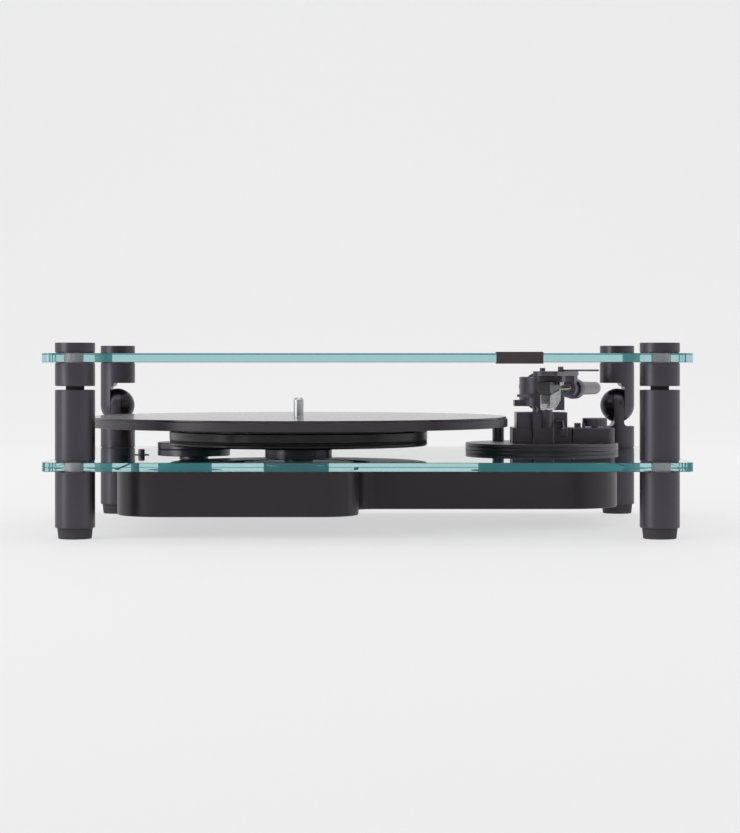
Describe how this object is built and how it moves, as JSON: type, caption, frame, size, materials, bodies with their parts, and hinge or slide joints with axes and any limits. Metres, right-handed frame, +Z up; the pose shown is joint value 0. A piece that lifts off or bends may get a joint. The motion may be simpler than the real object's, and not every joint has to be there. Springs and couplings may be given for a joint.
{
  "type": "turntable record player",
  "caption": "Record player with a glass deck and a hinged glass lid on round posts, a belt-driven platter and a pivoted tonearm.",
  "frame": {"origin": "bottom centre of the whole object: midway between the posts, on the surface the feet stand on", "axes": "+X to the right, +Y to the back, +Z up, seen from the front where the lid is opened"},
  "size_m": [0.427, 0.3099, 0.1293],
  "materials": {
    "arm_base_black": "anodised black",
    "arm_tube_silver": "satin",
    "armboard_aluminium": "anodised black",
    "ball_steel": "polished",
    "bearing_aluminium": "turned, anodised black",
    "belt_rubber": "ground flat",
    "board_laminate": "solder mask",
    "bumper_rubber": "soft",
    "bush_aluminium": "turned",
    "bush_bronze": "sintered",
    "button_black": "turned, anodised black",
    "cartridge_black": "moulded",
    "clear_gasket": "translucent ring",
    "cover_paint": "satin black",
    "dial_aluminium": "anodised black, knurled",
    "dome_aluminium": "polished anthracite",
    "float_glass": "polished, pale teal edge",
    "foot_rubber": "moulded",
    "guard_clear": "clear moulding",
    "handle_plastic": "moulded, very dark brown",
    "headshell_black": "anodised black",
    "housing_paint": "satin black",
    "jack_gold": "gold plated",
    "lead_wire": "insulated",
    "lever_black": "black enamelled wire and paddle",
    "lift_black": "anodised black",
    "lift_rubber": "faced bar",
    "mat_felt": "felt",
    "motor_steel": "can",
    "pin_steel": "ground",
    "platter_paint": "satin black",
    "post_aluminium": "anodised anthracite, satin",
    "puck_plastic": "turned",
    "pulley_black": "turned, anodised black",
    "rest_plastic": "moulded",
    "rod_steel": "threaded",
    "screw_steel": "zinc plated",
    "socket_plastic": "moulded",
    "spindle_steel": "polished",
    "sub_acrylic": "turned, dark",
    "terminal_black": "black nickel plated",
    "washer_plastic": "moulded",
    "weight_black": "satin black",
    "yoke_black": "anodised black"
  },
  "bodies": {
    "base": {"rubber_feet": "foot_rubber", "lower_tubes": "post_aluminium", "tie_rods": "rod_steel", "deck_gaskets": "clear_gasket", "deck_bushes": "bush_aluminium", "front_upper_tubes": "post_aluminium", "lid_bumpers": "bumper_rubber", "glass_deck": "float_glass", "hinge_posts": "post_aluminium", "hinge_domes": "dome_aluminium", "hinge_pins": "pin_steel", "hinge_washers": "washer_plastic", "base_housing": "housing_paint", "bottom_cover": "cover_paint", "cover_screws": "screw_steel", "circuit_board": "board_laminate", "phono_jacks": "jack_gold", "power_socket": "socket_plastic", "motor": "motor_steel", "motor_puck": "puck_plastic", "drive_belt": "belt_rubber", "bearing_housing": "bearing_aluminium", "bearing_bush": "bush_bronze", "thrust_ball": "ball_steel", "bearing_nut": "bearing_aluminium", "button_collar": "button_black", "armboard": "armboard_aluminium", "arm_base": "arm_base_black", "lift_body": "lift_black", "arm_rest": "rest_plastic", "side_box": "arm_base_black", "ground_terminal": "terminal_black"},
    "lid": {"glass_lid": "float_glass", "lid_gaskets": "clear_gasket", "lid_bushes": "bush_aluminium", "lid_studs": "rod_steel", "lid_caps": "post_aluminium", "lid_collars": "post_aluminium", "lid_handle": "handle_plastic", "hinge_arms": "post_aluminium"},
    "platter_set": {"spindle": "spindle_steel", "sub_platter": "sub_acrylic", "platter": "platter_paint", "slip_mat": "mat_felt"},
    "rotor": {"motor_pulley": "pulley_black"},
    "button": {"speed_button": "button_black"},
    "arm_carrier": {"bearing_yoke": "yoke_black", "pivot_screws": "screw_steel"},
    "arm": {"arm_block": "yoke_black", "arm_tube": "arm_tube_silver", "headshell": "headshell_black", "cartridge": "cartridge_black", "cartridge_screws": "screw_steel", "cartridge_leads": "lead_wire"},
    "weight": {"counterweight": "weight_black"},
    "locking_collar": {"headshell_collar": "headshell_black"},
    "guard": {"stylus_guard": "guard_clear"},
    "lift": {"lift_platform": "lift_rubber"},
    "lever": {"cue_lever": "lever_black"},
    "skate_dial": {"anti_skate_knob": "dial_aluminium"}
  },
  "joints": [
    {"name": "lid_hinge", "type": "hinge", "parent": "base", "child": "lid", "pos_m": [0, 0.133, 0.0833], "axis": [-1, 0, 0], "range_deg": [0, 80]},
    {"name": "platter_spin", "type": "hinge", "parent": "base", "child": "platter_set", "pos_m": [-0.0495, 0.005, 0.06], "axis": [0, 0, 1], "continuous": true},
    {"name": "pulley_spin", "type": "hinge", "parent": "base", "child": "rotor", "pos_m": [-0.132, 0.104, 0.06], "axis": [0, 0, 1], "continuous": true},
    {"name": "button_press", "type": "slide", "parent": "base", "child": "button", "axis": [0, 0, -1], "range_m": [0, 0.0012], "stiffness_N_per_m": 300, "springref_m": -0.002},
    {"name": "arm_swing", "type": "hinge", "parent": "base", "child": "arm_carrier", "pos_m": [0.1315, 0.089, 0.09], "axis": [0, 0, -1], "range_deg": [0, 46]},
    {"name": "arm_tilt", "type": "hinge", "parent": "arm_carrier", "child": "arm", "pos_m": [0.1315, 0.089, 0.0983], "axis": [-0.9983, 0.0577, 0], "range_deg": [-1, 0.6]},
    {"name": "weight_slide", "type": "slide", "parent": "arm", "child": "weight", "axis": [0.0577, 0.9983, 0], "range_m": [0, 0.005]},
    {"name": "collar_turn", "type": "hinge", "parent": "arm", "child": "locking_collar", "pos_m": [0.14117, -0.07653, 0.0983], "axis": [0.3907, 0.9205, 0], "range_deg": [0, 40]},
    {"name": "guard_pull", "type": "slide", "parent": "arm", "child": "guard", "axis": [-0.3849, -0.9067, -0.1724], "range_m": [0, 0.014]},
    {"name": "lever_turn", "type": "hinge", "parent": "base", "child": "lever", "pos_m": [0.1456, 0.0685, 0.07245], "axis": [-1, 0, 0], "range_deg": [0, 45]},
    {"name": "lift_slide", "type": "slide", "parent": "base", "child": "lift", "axis": [0, 0, -1], "range_m": [0, 0.003]},
    {"name": "dial_turn", "type": "hinge", "parent": "base", "child": "skate_dial", "pos_m": [0.171, 0.0835, 0.07], "axis": [0, 0, 1], "range_deg": [0, 270]}
  ],
  "couplings": [
    {"joint": "pulley_spin", "follows": "platter_spin", "ratio": 8.9902},
    {"joint": "lift_slide", "follows": "lever_turn", "m_per_rad": 0.0038197}
  ]
}
